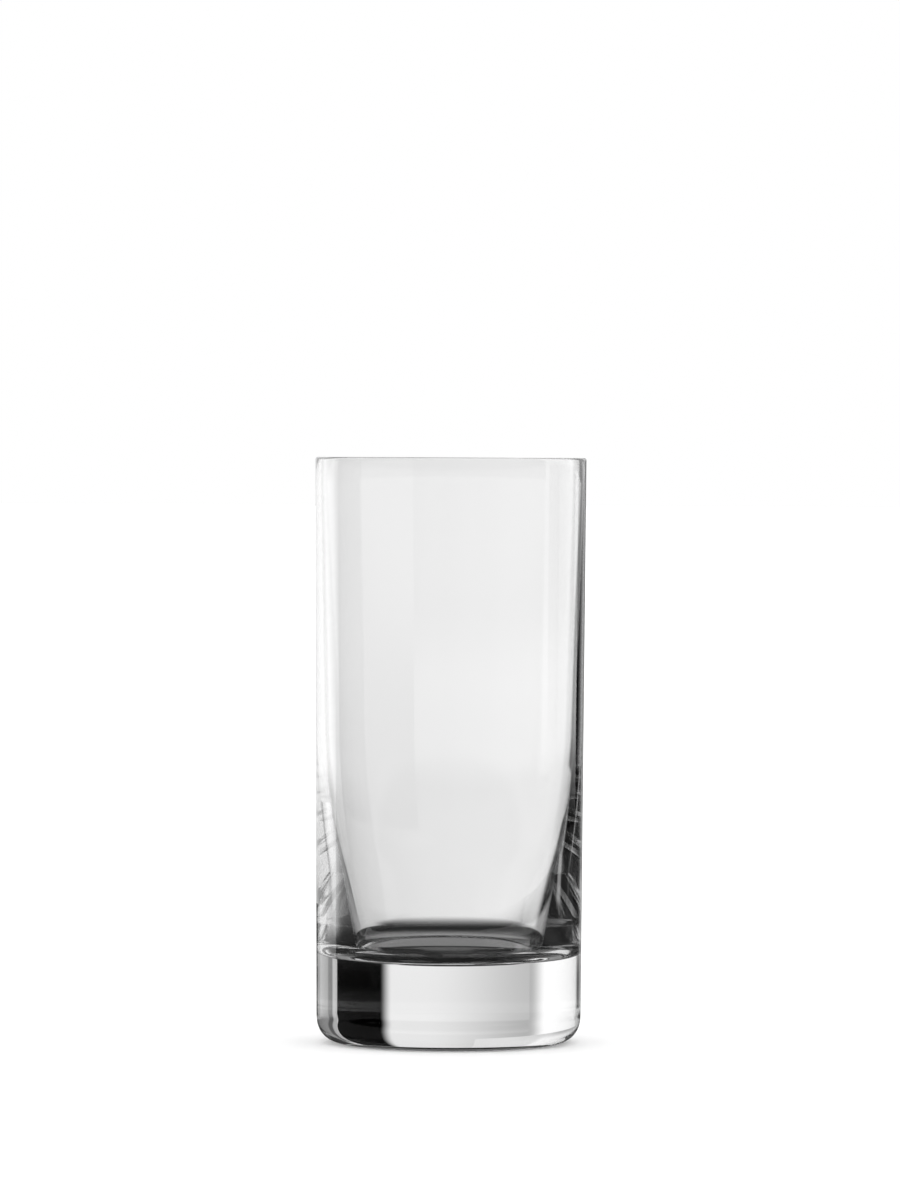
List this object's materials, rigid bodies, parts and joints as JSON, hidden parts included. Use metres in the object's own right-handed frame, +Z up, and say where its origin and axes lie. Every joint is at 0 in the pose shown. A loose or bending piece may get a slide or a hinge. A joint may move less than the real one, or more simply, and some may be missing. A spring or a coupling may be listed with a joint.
{
  "type": "tall tumbler",
  "caption": "Tall straight drinking glass of clear glass with a thin wall, a rounded rim and a heavy solid base with a rounded heel.",
  "frame": {"origin": "under the centre of the base, on the surface that the glass stands on", "axes": "+Z up along the axis of the glass, from the base to the rim; the glass is round, so X and Y are free"},
  "size_m": [0.07, 0.07, 0.1512],
  "materials": {
    "clear_glass": "polished, colourless and clear"
  },
  "bodies": {
    "root": {"base": "clear_glass", "wall": "clear_glass", "rim": "clear_glass"}
  },
  "joints": []
}
